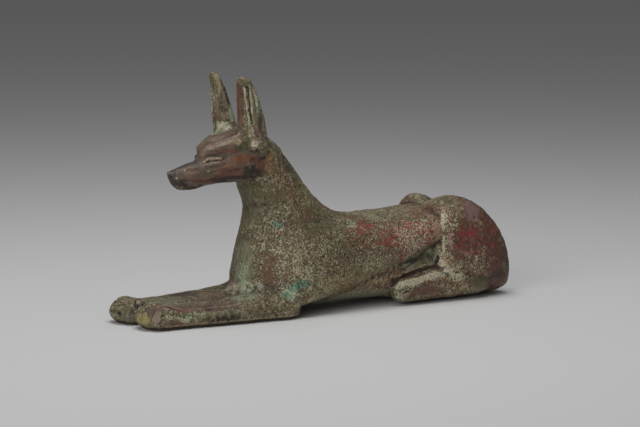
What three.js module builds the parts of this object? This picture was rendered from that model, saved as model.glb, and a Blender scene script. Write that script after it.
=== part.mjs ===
// A recumbent jackal, cast in bronze as one piece, in the ancient Egyptian manner.
// Millimetres, +Z up. The nose points to -X, and the figure lies on z = 0 with its middle over the origin.
// The body is a field that is negative inside the metal. Lofted forms are melted together in that field,
// a skin of triangles is wrapped round it, and the skin is thinned where the surface is nearly flat.
import * as THREE from "three";
import { SimplifyModifier } from "three/addons/modifiers/SimplifyModifier.js";

// Driving dimensions
const NOSE = -46.3; // x of the nose's tip
const CROWN = 49.2; // height of the skull between the ears
const EAR_TOP = 63.4;
const PAW_FRONT = -58.8;
const ELBOW = -12.8;
const HIND_TOE = 17.6;
const HIP_TOP = 27.8;
const RUMP = 58;
const HEAD_FROM = 30; // height above which the head's forms count
const FAR_HIP = { shorter: 3.4, lower: 0.7, front: 34.6, back: 43.6 }; // drawn in at its front and back
const MIDDLE = 4; // half the width over which the near hip turns into the far one

// Finish of the skin
const CELL = 0.64;
const NUDGE = 0.03; // least share of a cell between the surface and a corner of the grid
const TRIANGLES = 9600;
const BOX = { low: [-62, -19, -1.6], high: [64, 19, 65.6] };

const BRONZE = { color: 0x4a4034, roughness: 0.6, metalness: 0.55 };

// Smooth curve through [position, value] stations that never swings past them
function through(stations) {
  const at = stations.map(([p]) => p);
  const value = stations.map(([, v]) => v);
  const rise = at.slice(1).map((p, i) => (value[i + 1] - value[i]) / (p - at[i]));
  const slope = at.map((_, i) => {
    const before = rise[i - 1] ?? rise[i];
    const after = rise[i] ?? rise[i - 1];
    return before * after <= 0 ? 0 : (2 * before * after) / (before + after);
  });
  return (p) => {
    if (p <= at[0] || at.length === 1) return value[0];
    let i = 0;
    while (i < at.length - 2 && p > at[i + 1]) i++;
    if (p >= at[i + 1]) return value[i + 1];
    const span = at[i + 1] - at[i];
    const t = (p - at[i]) / span;
    const s = 1 - t;
    return (
      value[i] * s * s * (1 + 2 * t) +
      value[i + 1] * t * t * (1 + 2 * s) +
      span * t * s * (slope[i] * s - slope[i + 1] * t)
    );
  };
}

// Distance from a superellipse of half sizes a and b, measured along the line from its centre
function oval(u, v, a, b, power) {
  const reach = (Math.abs(u / a) ** power + Math.abs(v / b) ** power) ** (1 / power);
  return reach < 1e-6 ? -Math.min(a, b) : Math.hypot(u, v) * (1 - 1 / reach);
}

// Share of full size left at a place, where a loft closes with a round end
function rounding(place, start, end, startRound, endRound) {
  const fromStart = Math.max(0, 1 - (place - start) / startRound);
  const fromEnd = Math.max(0, 1 - (end - place) / endRound);
  const short = Math.min(Math.max(fromStart, fromEnd), 0.9999);
  return Math.sqrt(1 - short * short);
}

// Loft along X whose sections run from bottom to top and reach half to each side of side
function lengthwise({ start, end, top, bottom, half, side = [[0, 0]], power = 2, round = [3, 3] }) {
  const [topAt, bottomAt, halfAt, sideAt] = [top, bottom, half, side].map(through);
  return (x, y, z) => {
    const place = THREE.MathUtils.clamp(x, start, end);
    const size = rounding(place, start, end, ...round);
    const high = topAt(place);
    const low = bottomAt(place);
    const middle = (high + low) / 2;
    const halfHigh = (high - low) / 2;
    const across = oval(y - sideAt(place), z - middle, halfAt(place) * size, halfHigh * size, power);
    const beyond = Math.abs(x - place);
    return beyond > 0 ? Math.hypot(Math.max(across, 0), beyond) : across;
  };
}

// Loft upwards whose sections run from front to back and reach half to each side of y = 0
function upright({ foot, head, front, back, half, power = 2 }) {
  const [frontAt, backAt, halfAt] = [front, back, half].map(through);
  return (x, y, z) => {
    const place = THREE.MathUtils.clamp(z, foot, head);
    const ahead = frontAt(place);
    const behind = backAt(place);
    const across = oval(x - (ahead + behind) / 2, y, (behind - ahead) / 2, halfAt(place), power);
    const beyond = Math.abs(z - place);
    return beyond > 0 ? Math.hypot(Math.max(across, 0), beyond) : across;
  };
}

function ellipsoid(centre, radii) {
  return (x, y, z) => {
    const p = [x, y, z].map((v, i) => v - centre[i]);
    const near = Math.hypot(...p.map((v, i) => v / radii[i]));
    const steep = Math.hypot(...p.map((v, i) => v / radii[i] ** 2));
    return steep < 1e-9 ? -Math.min(...radii) : (near * (near - 1)) / steep;
  };
}

// Round bar from a to b, whose radius goes from ra to rb
function bar(a, b, ra, rb = ra) {
  const axis = b.map((v, i) => v - a[i]);
  const length2 = axis.reduce((sum, v) => sum + v * v, 0);
  return (x, y, z) => {
    const p = [x - a[0], y - a[1], z - a[2]];
    const t = THREE.MathUtils.clamp(p.reduce((sum, v, i) => sum + v * axis[i], 0) / length2, 0, 1);
    return Math.hypot(...p.map((v, i) => v - axis[i] * t)) - (ra + (rb - ra) * t);
  };
}

// The two fields as one, with a fillet about as wide as blend where they meet
function melt(a, b, blend) {
  const near = Math.max(blend - Math.abs(a - b), 0) / blend;
  return Math.min(a, b) - (near * near * blend) / 4;
}

// The first field with the second one taken away
const carve = (a, b, blend) => -melt(-a, b, blend);

// Forms of the body. Each is given for the side where y is positive, and the field mirrors it.
const chestAndNeck = upright({
  foot: 0,
  head: 43.5,
  front: [[0, -24.6], [9, -24.4], [17, -23.2], [23, -21.5], [28, -20.8], [34, -23.1], [43.5, -24.1]],
  back: [
    [0, -15], [2.5, -12], [5, 2], [9, 12], [13, 12.4], [20, 9], [25.7, 3],
    [30.9, -3], [38.7, -9.1], [43.5, -12.9],
  ],
  half: [[0, 14.6], [6, 14.5], [12, 13.7], [20, 12], [28, 9.6], [36, 7.8], [43.5, 6]],
  power: 2.2,
});

const barrel = lengthwise({
  start: -20,
  end: 57,
  top: [
    [-20, 24], [5, 25.2], [13, 24.3], [20, 24.3], [28, 24.4],
    [36, 24.9], [44, 25.2], [50, 22], [54, 17], [57, 9],
  ],
  bottom: [[-20, 3.5], [0, 5.4], [9, 5.8], [15, 6.6], [25, 10.8], [33, 14], [40, 8], [57, 2]],
  half: [[-20, 12.6], [0, 13.6], [15, 13.6], [33, 13.7], [48, 12], [57, 9]],
  power: 2.3,
  round: [8, 1],
});

const belly = lengthwise({
  start: -18,
  end: 54,
  top: [[-18, 14], [54, 14]],
  bottom: [[-18, 0.4], [-8, 1.4], [10, 1.8], [17, 1.7], [24, 0.6], [34, -0.6], [54, -0.6]],
  half: [[-18, 10], [10, 10.4], [24, 11.2], [34, 11.8], [54, 8.4]],
  power: 3,
});

const haunch = lengthwise({
  start: 31,
  end: RUMP,
  top: [
    [31, 22], [33, 25.6], [35.5, 27.4], [39, HIP_TOP], [43, 27.2], [46, 26.1],
    [49, 24.3], [53, 20.4], [56, 15.8], [RUMP, 8.2],
  ],
  bottom: [[31, 5], [34, 1.4], [38, 0.4], [54, 0.4], [57, 1], [RUMP, 3.4]],
  half: [[31, 8.2], [38, 9.2], [46, 9], [52, 8], [56, 6.2], [RUMP, 4.6]],
  side: [[0, 5.8]],
  power: 2.5,
  round: [3.4, 0.8],
});

const hindFoot = lengthwise({
  start: HIND_TOE,
  end: 50,
  top: [[HIND_TOE, 6.4], [20, 7.2], [25, 7.6], [31, 8.8], [38, 7.8], [50, 5]],
  bottom: [[HIND_TOE, 0.4], [28, 0.7], [50, 0.9]],
  half: [[HIND_TOE, 2.4], [22, 3], [32, 4], [50, 5]],
  side: [[HIND_TOE, 11.3], [32, 10.3], [50, 9.6]],
  power: 2.6,
  round: [2.4, 6],
});

const foreleg = lengthwise({
  start: PAW_FRONT + 1.2,
  end: ELBOW,
  top: [[-57, 6], [-54.5, 6.7], [-50, 5.9], [-43, 5.7], [-37, 6], [-30, 6.2], [-23, 6.7], [-14, 8.6]],
  bottom: [[-57, -2.4], [-14, -2.4]],
  half: [[-57, 5.3], [-54, 5.8], [-47, 5.8], [-36, 6.2], [-18, 6.6]],
  side: [[-57, 6.1], [-50, 6.2], [-36, 7.2], [-18, 8.3]],
  power: 2.9,
  round: [4, 3.5],
});

const webBetweenForelegs = lengthwise({
  start: -52,
  end: -14,
  top: [[-52, 3.6], [-40, 4.3], [-28, 5], [-14, 6.5]],
  bottom: [[-52, -2.4], [-14, -2.4]],
  half: [[-52, 5], [-14, 6]],
  power: 3,
});

// Four toes side by side at the front of a forepaw
const toes = [-1.5, -0.5, 0.5, 1.5].map((step) =>
  lengthwise({
    start: PAW_FRONT + (Math.abs(step) - 0.5) * 1.5,
    end: PAW_FRONT + 6,
    top: [[PAW_FRONT, 5.1], [PAW_FRONT + 4, 5.6]],
    bottom: [[PAW_FRONT, 0.6], [PAW_FRONT + 3, -1]],
    half: [[PAW_FRONT, 1.6], [PAW_FRONT + 6, 1.5]],
    side: [[0, 6.2 + step * 2.7]],
    round: [1.8, 2],
  }),
);

// Hollow between the two hips
const saddle = bar([31, 0.8, 29.6], [46, 0.8, 28.8], 3.6);

const tail = [
  bar([49, 0, 21], [54.2, 0, 15.2], 2.2),
  bar([54.2, 0, 15.2], [56.3, 0, 8.4], 2.2),
  bar([56.3, 0, 8.4], [56.6, 0, 1], 2.2, 1.8),
];

// Forms of the head
const skull = lengthwise({
  start: NOSE,
  end: -12.5,
  top: [
    [NOSE, 39.1], [-44, 39.4], [-42.2, 39.9], [-39.1, 40.9], [-37, 41.3], [-36, 42.8], [-35.4, 44.2],
    [-33.4, 45.4], [-30, 47.1], [-25, CROWN - 0.4], [-20, 48], [-15, 45.6], [-12.5, 43.4],
  ],
  bottom: [
    [NOSE, 38.4], [-45.3, 37], [-44.1, 35.1], [-42.2, 33.9], [-39, 33.9], [-36, 34.6],
    [-31, 35.1], [-22, 35.2], [-16, 37], [-12.5, 39],
  ],
  half: [
    [NOSE, 1.2], [-44, 2.1], [-40, 2.8], [-37.5, 3.2], [-34, 4.4], [-30, 6.1],
    [-25, 7.7], [-20, 7.9], [-15, 6.4], [-12.5, 5],
  ],
  power: 2.5,
  round: [2, 5],
});

const brow = bar([-35, 1.5, 44], [-28.6, 5.2, 45.8], 1, 1.6);
const eyeSocket = bar([-36, 4.2, 41.6], [-32, 5.9, 42.2], 1.2);
const eyeball = bar([-35, 3.6, 41.5], [-33, 4.4, 41.8], 0.75);

// The ear is a loft upwards, turned so that its hollow looks forwards and a little outwards.
const EAR_FOOT = 41.5;
const EAR_TURN = THREE.MathUtils.degToRad(20);
const NEAR_EAR = { lean: 0.2, lower: 0.4 }; // how far its tip lies behind and below the far one's
const FAR_EAR_WIDER = 0.6; // at its tip
const earX = through([[EAR_FOOT, -23.2], [49, -24.2], [56.8, -25.5], [EAR_TOP, -27.6]]);
const earY = through([[EAR_FOOT, 5.4], [47, 6.1], [EAR_TOP, 6.5]]);
const earHalf = through([[EAR_FOOT, 3.6], [46, 4.3], [49, 4.2], [56.8, 3.3], [60, 2.7], [EAR_TOP, 2.1]]);
const earThick = through([[EAR_FOOT, 3.3], [49, 3], [56.8, 2], [EAR_TOP, 1.1]]);

function ear(x, y, z, far) {
  const top = EAR_TOP - NEAR_EAR.lower * (1 - far);
  const place = THREE.MathUtils.clamp(z, EAR_FOOT, top);
  const rise = THREE.MathUtils.smoothstep(place, CROWN, EAR_TOP);
  const ahead = x - earX(place) - NEAR_EAR.lean * rise * (1 - far);
  const out = y - earY(place);
  const across = out * Math.cos(EAR_TURN) + ahead * Math.sin(EAR_TURN);
  const along = ahead * Math.cos(EAR_TURN) - out * Math.sin(EAR_TURN);
  const size = rounding(place, EAR_FOOT, top, 4, 1.4);
  const half = earHalf(place) + FAR_EAR_WIDER * rise * far;
  const flat = oval(across, along, half * size, earThick(place) * size, 2);
  const beyond = Math.abs(z - place);
  return beyond > 0 ? Math.hypot(Math.max(flat, 0), beyond) : flat;
}

const earHollow = bar([-27.9, 7.2, 49.5], [-28.7, 7.4, 60], 1.7, 0.9);
const earLobe = ellipsoid([-25, 8.8, 45.2], [1.8, 1.3, 1.7]);

const least = (fields, x, y, z) => Math.min(...fields.map((field) => field(x, y, z)));

// In head and body, y is the distance from the middle plane, and far goes from 0 on the near side
// to 1 on the far one.
function head(x, y, z, far) {
  let metal = skull(x, y, z);
  metal = melt(metal, brow(x, y, z), 1.6);
  metal = carve(metal, eyeSocket(x, y, z), 0.6);
  metal = melt(metal, eyeball(x, y, z), 0.3);
  const upper = carve(ear(x, y, z, far), earHollow(x, y, z), 0.7);
  metal = melt(metal, upper, 1.8);
  return melt(metal, earLobe(x, y, z), 0.8);
}

function body(x, y, z, far) {
  let metal = melt(barrel(x, y, z), belly(x, y, z), 1);
  metal = melt(metal, chestAndNeck(x, y, z), 4);
  const paw = melt(foreleg(x, y, z), least(toes, x, y, z), 0.5);
  metal = melt(metal, melt(paw, webBetweenForelegs(x, y, z), 1.5), 1.8);
  const backwards = THREE.MathUtils.smoothstep(x, FAR_HIP.front, FAR_HIP.back) * 2 - 1;
  const shorter = FAR_HIP.shorter * far * backwards;
  const hip = haunch(x + shorter, y, z + FAR_HIP.lower * far);
  metal = melt(metal, melt(hip, hindFoot(x, y, z), 1.4), 1.1);
  metal = carve(metal, saddle(x, y, z), 2.5);
  return melt(metal, least(tail, x, y, z), 1.2);
}

function figure(x, y, z) {
  const side = Math.abs(y);
  const far = THREE.MathUtils.smoothstep(y, -MIDDLE, MIDDLE);
  let metal = body(x, side, z, far);
  if (z > HEAD_FROM) metal = melt(metal, head(x, side, z, far), 2.4);
  return Math.max(metal, -z);
}

// Wraps triangles round the field. Each cell of a grid is split into six tetrahedra, and the surface
// leaves a tetrahedron through its edges, so that the skin is closed wherever the field stays in the box.
function wrap(field, { low, high }, cell) {
  const size = low.map((v, i) => Math.ceil((high[i] - v) / cell) + 1);
  const stride = [1, size[0], size[0] * size[1]];
  const place = (node) => [0, 1, 2].map((i) => low[i] + (Math.floor(node / stride[i]) % size[i]) * cell);
  const values = Float32Array.from({ length: size[0] * size[1] * size[2] }, (_, node) => {
    const value = field(...place(node));
    return Math.sign(value || 1) * Math.max(Math.abs(value), cell * NUDGE);
  });

  const positions = [];
  const corners = new Map();
  const corner = (inner, outer) => {
    const key = inner * values.length + outer;
    if (!corners.has(key)) {
      const t = values[inner] / (values[inner] - values[outer]);
      const [from, to] = [place(inner), place(outer)];
      corners.set(key, positions.length / 3);
      positions.push(...from.map((v, i) => v + (to[i] - v) * t));
    }
    return corners.get(key);
  };

  const faces = [];
  const outwards = (inner, outer) => {
    const middle = (nodes, i) => nodes.reduce((sum, node) => sum + place(node)[i], 0) / nodes.length;
    return new THREE.Vector3(...[0, 1, 2].map((i) => middle(outer, i) - middle(inner, i)));
  };
  const at = (n) => new THREE.Vector3().fromArray(positions, n * 3);
  const turns = [[0, 1], [1, 2], [2, 0], [0, 2], [2, 1], [1, 0]];
  for (let k = 0; k < size[2] - 1; k++)
    for (let j = 0; j < size[1] - 1; j++)
      for (let i = 0; i < size[0] - 1; i++) {
        const start = i + j * stride[1] + k * stride[2];
        const far = start + stride[0] + stride[1] + stride[2];
        for (const [a, b] of turns) {
          const four = [start, start + stride[a], start + stride[a] + stride[b], far];
          const inner = four.filter((node) => values[node] < 0);
          if (inner.length === 0 || inner.length === 4) continue;
          const outer = four.filter((node) => values[node] > 0);
          const ring = inner.flatMap((p) => outer.map((q) => corner(p, q)));
          if (inner.length === 2) ring.push(...ring.splice(2, 2).reverse());
          const [p, q, r] = ring.map(at);
          const facing = q.sub(p).cross(r.sub(p)).dot(outwards(inner, outer));
          if (facing < 0) ring.reverse();
          for (let n = 2; n < ring.length; n++) faces.push(ring[0], ring[n - 1], ring[n]);
        }
      }
  const skin = new THREE.BufferGeometry();
  skin.setAttribute("position", new THREE.Float32BufferAttribute(positions, 3));
  skin.setIndex(faces);
  return skin;
}

const full = wrap(figure, BOX, CELL);
full.computeVertexNormals();
const spare = full.attributes.position.count * (1 - (TRIANGLES * 3) / full.index.count);
const skin = await new SimplifyModifier().modify(full, Math.round(spare));
skin.deleteAttribute("normal");
skin.computeBoundingBox();
const { min, max } = skin.boundingBox;
skin.translate(-(min.x + max.x) / 2, -(min.y + max.y) / 2, -min.z);
skin.computeVertexNormals();

const jackal = new THREE.Mesh(skin, new THREE.MeshStandardMaterial(BRONZE));
jackal.name = "jackal";

const model = new THREE.Group();
model.add(jackal);

export default model;
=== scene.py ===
"""A recumbent jackal in cast bronze: its carving, corroded skin and studio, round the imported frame."""

import math

import bmesh
import bpy
import numpy as np
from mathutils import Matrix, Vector, noise

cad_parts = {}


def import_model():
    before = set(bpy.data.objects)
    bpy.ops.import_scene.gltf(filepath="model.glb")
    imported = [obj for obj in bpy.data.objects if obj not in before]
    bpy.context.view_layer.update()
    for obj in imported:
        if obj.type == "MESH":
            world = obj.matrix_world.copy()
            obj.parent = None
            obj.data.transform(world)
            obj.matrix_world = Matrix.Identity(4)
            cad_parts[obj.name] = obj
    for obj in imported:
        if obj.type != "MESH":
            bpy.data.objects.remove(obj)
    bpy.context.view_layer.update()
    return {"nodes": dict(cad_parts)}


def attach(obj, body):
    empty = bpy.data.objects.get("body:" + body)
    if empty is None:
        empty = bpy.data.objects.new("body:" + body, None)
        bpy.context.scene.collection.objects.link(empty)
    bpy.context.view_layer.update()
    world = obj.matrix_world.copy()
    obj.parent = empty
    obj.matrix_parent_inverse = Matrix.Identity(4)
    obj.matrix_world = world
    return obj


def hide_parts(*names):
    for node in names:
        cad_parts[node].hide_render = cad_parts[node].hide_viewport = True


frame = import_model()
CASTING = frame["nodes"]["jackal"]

bl_info = {
    "name": "Bronze jackal",
    "version": (1, 0, 0),
    "blender": (4, 5, 0),
    "location": "3D View > Sidebar > Jackal",
    "description": "Carves and corrodes the skin of the cast jackal, and sets up its studio",
    "category": "Object",
}

MM = 0.001

# The figure's places and lengths are in millimetres, as in the part's source: the nose points to -X, and the
# near side is where y is negative.
RIM_HEIGHT = 2.4  # the edge that meets the ground is rounded below this height
RIM_DEPTH = 0.6  # how far that edge goes back at the ground
RIM_ROUNDS = 60
SKIN_ROUNDS = 30
PULL = 0.6  # share of the way to its neighbours' mean that a round of smoothing takes a point
PUSH = -0.62  # the way back after it, which keeps the figure from shrinking
CRISP_HEAD = {"share": 0.75, "from": 30, "to": 36}  # smoothing that is spared, and between which heights
CRISP_PAWS = {"share": 0.7, "from": 50, "to": 54}  # the same by the distance in front of the origin

# Strokes of the graver are on both sides, so their y is the distance from the middle plane.
# Each stroke is its path, its width and its height, and it cuts where the height is negative.
HEAD_STROKES = (
    # brow: its edge, the dark hollow under it, and the crease over the upper lid
    (((-35.6, 1.2, 43.9), (-34.2, 3.4, 44.5), (-32.1, 4.6, 45.4), (-29.9, 5.8, 46.3)), 0.5, 0.26),
    (((-36.2, 1.4, 42.4), (-35.2, 3, 42.9), (-33.7, 4.1, 43), (-31.5, 5, 43.2)), 0.34, -0.2),
    # upper lid, the slit of the eye and the lower lid
    (
        ((-36.3, 2.1, 41.3), (-35.2, 3.6, 42), (-34, 4.4, 42.2), (-32.6, 5, 42.1), (-31.4, 5.4, 41.9)),
        0.28,
        0.26,
    ),
    (((-36.3, 2.6, 41), (-35.2, 3.9, 41.4), (-34, 4.6, 41.5), (-32.6, 4.9, 41.6)), 0.2, -0.32),
    (
        ((-37, 2.5, 40.3), (-35.8, 3.3, 40.6), (-34.2, 4.3, 40.9), (-32.6, 4.9, 41.2), (-30.8, 5.3, 41.5)),
        0.32,
        0.28,
    ),
    (((-37, 2.6, 39.6), (-35.2, 3.7, 39.8), (-32.9, 4.8, 40.2), (-30.4, 5.6, 40.8)), 0.34, -0.2),
    # edges of the bridge and of the nose
    (((-42.6, 1.6, 39.4), (-40.4, 1.9, 39.9), (-38.4, 2.4, 40.3)), 0.34, 0.14),
    (((-43.4, 1.6, 38.7), (-40.6, 2.3, 39.1), (-37.6, 3, 39.5)), 0.4, -0.1),
    (((-45, 0, 39.5), (-44.5, 1.3, 39), (-44.6, 1.7, 37.8)), 0.26, -0.14),
    # mouth, from under the nose to the cheek, and the swelling of the lip over it
    (((-45, 1.3, 36.9), (-43.6, 2.1, 36.9), (-40, 2.8, 36.5), (-37, 3.2, 36.2)), 0.24, -0.12),
    (((-38.2, 3, 36), (-36, 3.4, 36.3), (-33.6, 3.9, 36.9)), 0.26, -0.24),
    (((-37.6, 3.2, 36.6), (-35.6, 3.6, 36.9), (-33.4, 4.1, 37.5)), 0.3, 0.14),
    (((-43.8, 2.1, 37.7), (-40, 2.9, 37.4), (-36, 3.5, 37.6)), 0.6, 0.1),
    # lower edge of the jaw
    (((-36, 3.4, 35.3), (-33, 4, 35.3), (-29, 4.8, 35.4), (-25, 5.6, 35.6), (-20.5, 6.6, 36.2)), 1, 0.8),
    # wrinkles of the cheek
    (((-35.6, 3.6, 38.4), (-34, 4.3, 38.7), (-32.6, 4.6, 39)), 0.24, -0.14),
    (((-31.6, 5.2, 38.2), (-29.2, 6.1, 38.9), (-26.6, 7, 39.6)), 0.22, -0.12),
    # shadow under the lobe of the ear
    (((-26.6, 9, 44), (-25.3, 9.9, 43.7), (-24, 9.6, 44.2)), 0.45, -0.34),
)

# First and last of the fine lines that fan out in front of the ear
FAN = (((-27.3, 4.3, 49.9), (-26.5, 6.2, 51.3)), ((-27.6, 5.6, 47.4), (-25.8, 8.4, 48.6)))
FAN_LINES = 6
FAN_WIDTH = 0.2
FAN_HEIGHT = -0.16

EAR_STROKES = (
    # hollow of the ear, the rim beside it, and the grooves and ridges behind the rim
    (((-28, 5.9, 61), (-27.6, 6.2, 57), (-27.2, 6.4, 51.6)), 0.7, -0.34),
    (((-28.2, 4.9, 61.2), (-27.7, 4.7, 57), (-27.3, 4.6, 51)), 0.3, 0.2),
    (
        ((-27.4, 7.2, 60.4), (-26.9, 7.7, 57.9), (-26.5, 8, 54.5), (-26.2, 8.3, 50.8), (-25.4, 9.2, 49)),
        0.32,
        0.44,
    ),
    (((-26.8, 8.1, 60.6), (-26.5, 8.3, 57.5), (-26.2, 8.5, 54.2), (-25.8, 8.9, 50.6)), 0.28, -0.42),
    (((-26.3, 8.7, 59.6), (-26, 8.9, 56.5), (-25.7, 9, 52.6)), 0.26, 0.26),
    (((-25.8, 8.9, 60.2), (-25.3, 9.3, 57), (-25, 9.5, 52.4)), 0.3, -0.2),
    (((-25, 9.2, 59.6), (-24.4, 9.6, 55.6)), 0.3, 0.14),
    # crease between the ear and its lobe
    (((-26.2, 8.9, 47.6), (-25.2, 9.9, 47.4), (-24.2, 9.9, 47.8)), 0.36, -0.3),
)

BODY_STROKES = (
    # edge of the flank, the dark line under it, and the deep line over the hind foot
    (((18, 11.4, 9.2), (22, 11.3, 11), (26, 11.3, 12.8), (29.4, 11.6, 14.2), (32, 12.2, 15.6)), 0.5, 0.3),
    (((20.3, 10.8, 9.2), (24.7, 10.5, 10.9), (28.6, 10.2, 12.4), (31.4, 10.8, 14.4)), 0.36, -0.26),
    (((20.6, 10.2, 10.2), (23.6, 9.8, 11.4), (27.2, 9, 12.9), (31, 8.2, 14.4), (34.6, 7.4, 15.8)), 1.4, 1.3),
    (((18.6, 10.8, 6.8), (23, 11.2, 8.1), (27.6, 11.4, 9.2), (31.6, 11.6, 9.9)), 0.42, -0.7),
    (((31.9, 11.5, 10.4), (32.4, 11.6, 12.6)), 0.36, -0.5),
    # front of the thigh, the hollow before it and the long hollow down the haunch
    (
        ((34.2, 11.6, 24.4), (33.2, 12.8, 20.6), (33, 13.4, 16.6), (33.4, 13.6, 12), (33.8, 13.8, 8.8)),
        0.55,
        0.26,
    ),
    (((42.2, 11.6, 26), (41.2, 13.6, 22), (40.2, 14.7, 18), (40, 14.9, 12.6)), 1.3, -0.2),
    # top of the hind foot, and its toes
    (((19.2, 12.6, 6.3), (23, 12.8, 7.3), (28, 12.9, 8), (33.4, 13.7, 8.6), (38, 14.2, 6.6)), 0.5, 0.24),
    (((20.8, 13.8, 4.6), (26, 14.2, 5.2), (33, 14.4, 5.6)), 0.9, -0.14),
    (((17.4, 10.9, 5.4), (18.6, 11.1, 6.4), (21.8, 11.5, 7)), 0.28, -0.34),
    (((17.4, 12.4, 4.4), (18.6, 12.9, 5.4), (21.4, 13.2, 6.2)), 0.28, -0.34),
    (((17.8, 13, 2.6), (18.9, 13.6, 3.4), (21.4, 13.9, 4.2)), 0.28, -0.3),
    # ridge along the foreleg's outer edge, and the hollow under it
    (((-56.2, 8.7, 4.6), (-55, 9.4, 5.8), (-52.7, 9.2, 6.2), (-49.8, 10.1, 5.4), (-48, 11, 4.8)), 0.45, 0.34),
    (((-49, 10.6, 5), (-44.2, 11, 4.9), (-41, 11.5, 4.9), (-36, 12.2, 5), (-30, 12.8, 5.4)), 0.6, 0.2),
    (((-55.2, 10.6, 4.2), (-52.3, 11.3, 4.4), (-49.4, 11.7, 3.6), (-44, 12.2, 3.6)), 0.7, -0.3),
    (((-53, 7.4, 6.2), (-48, 8.6, 5.4), (-42, 9.8, 5)), 0.5, -0.2),
    # gaps between the toes of the forepaw, and the knuckles behind them
    (((-59.4, 3.2, 2.2), (-58.4, 3.2, 4.6), (-56.6, 3.3, 6.2), (-54, 3.4, 6.6)), 0.34, -0.6),
    (((-59.8, 6, 2.2), (-58.9, 6, 4.6), (-56.8, 6.1, 6.4), (-54.2, 6.2, 6.6)), 0.34, -0.6),
    (((-59.4, 8.8, 2.2), (-58.2, 8.9, 4.2), (-56.4, 8.8, 5.6)), 0.34, -0.5),
    (((-55.2, 4.2, 6.4), (-54.8, 4.8, 6.6), (-55.2, 5.4, 6.4)), 0.5, 0.2),
    (((-55, 7, 6.4), (-54.6, 7.6, 6.6)), 0.5, 0.2),
    (((-54.6, 1.4, 5.4), (-52.6, 2.4, 5.8), (-50.4, 3, 5.8)), 0.45, 0.26),
)

# Dents, which aren't mirrored, and knobs where the depth is negative: place, radius and depth
DENTS = (
    ((-58.4, 7.2, 3.3), 0.8, 0.7),
    ((-58.3, 4.2, 3.1), 0.8, 0.7),
    ((-56.2, 0.9, 3.9), 0.9, 0.8),
    ((-53.8, 1.9, 5.6), 1.1, -0.4),
    ((-51.2, 3.3, 5.8), 1, -0.34),
    ((-52.6, 2.2, 5.6), 0.5, 0.3),
    ((-57.6, 2.4, 4.8), 0.6, 0.3),
    ((-45.4, -0.8, 37.6), 0.5, 0.36),
    ((-45.4, 0.8, 37.6), 0.5, 0.36),
    ((43.1, -13.7, 22.1), 0.5, 0.16),
    ((51.9, -12.6, 17), 0.8, 0.18),
    ((48.5, -13.6, 12), 0.7, 0.14),
    ((-28.6, -5.2, 63.2), 0.9, 0.3),
    ((-26.9, -8.1, 60.2), 0.4, 0.34),
    ((-27.2, 5.8, 63.2), 0.8, 0.24),
    ((-35.8, 3.2, 42), 1.1, 0.5),
    ((-36, 1.6, 43.2), 0.8, 0.2),
)

# Boxes on both sides in which the skin is made twice as fine: lowest and highest corner
FINE_BOXES = (
    ((-38.6, 0.8, 39.2), (-28.6, 7.4, 45.4)),
    ((-48, 0, 35.4), (-38.6, 4.4, 40.6)),
    ((-38.6, 2, 35.8), (-30.6, 6, 39.2)),
    ((-30, 4.6, 47), (-23.4, 12, 64)),
    ((-27.4, 8, 43), (-23, 12, 47)),
    ((-60, 0, 1), (-54, 12.4, 7.4)),
    ((16.6, 9.6, 1.6), (22, 14.6, 7.6)),
)

# Depth of the relief: the unevenness of the casting, and pits by size, depth against the corrosion's and seed
CAST_WAVES = 0.12
PITS = ((1.5, 1.6, 3), (3.1, 2.2, 4))
WORN = 0.85  # share of the relief that is gone where the skin is smooth

NOISE_SEED = 1  # noise_vector takes its offsets from the clock where none is set

# How the edges of the finishes wander, above HEAD_FROM and below it
HEAD_FROM = 32
HEAD_FADE = 4
HEAD_EDGES = {"size": 1.6, "reach": 0.35, "seed": 7}
BODY_EDGES = {"size": 2.6, "reach": 0.9, "seed": 6}

# The far side repeats the patches of the near side, out of step and weaker
NEAR_SIDE = -4  # y of a patch on the near side is less than this
FAR_STEP = (2.5, 0, -1.2)
FAR_SHARE = 0.75

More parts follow.
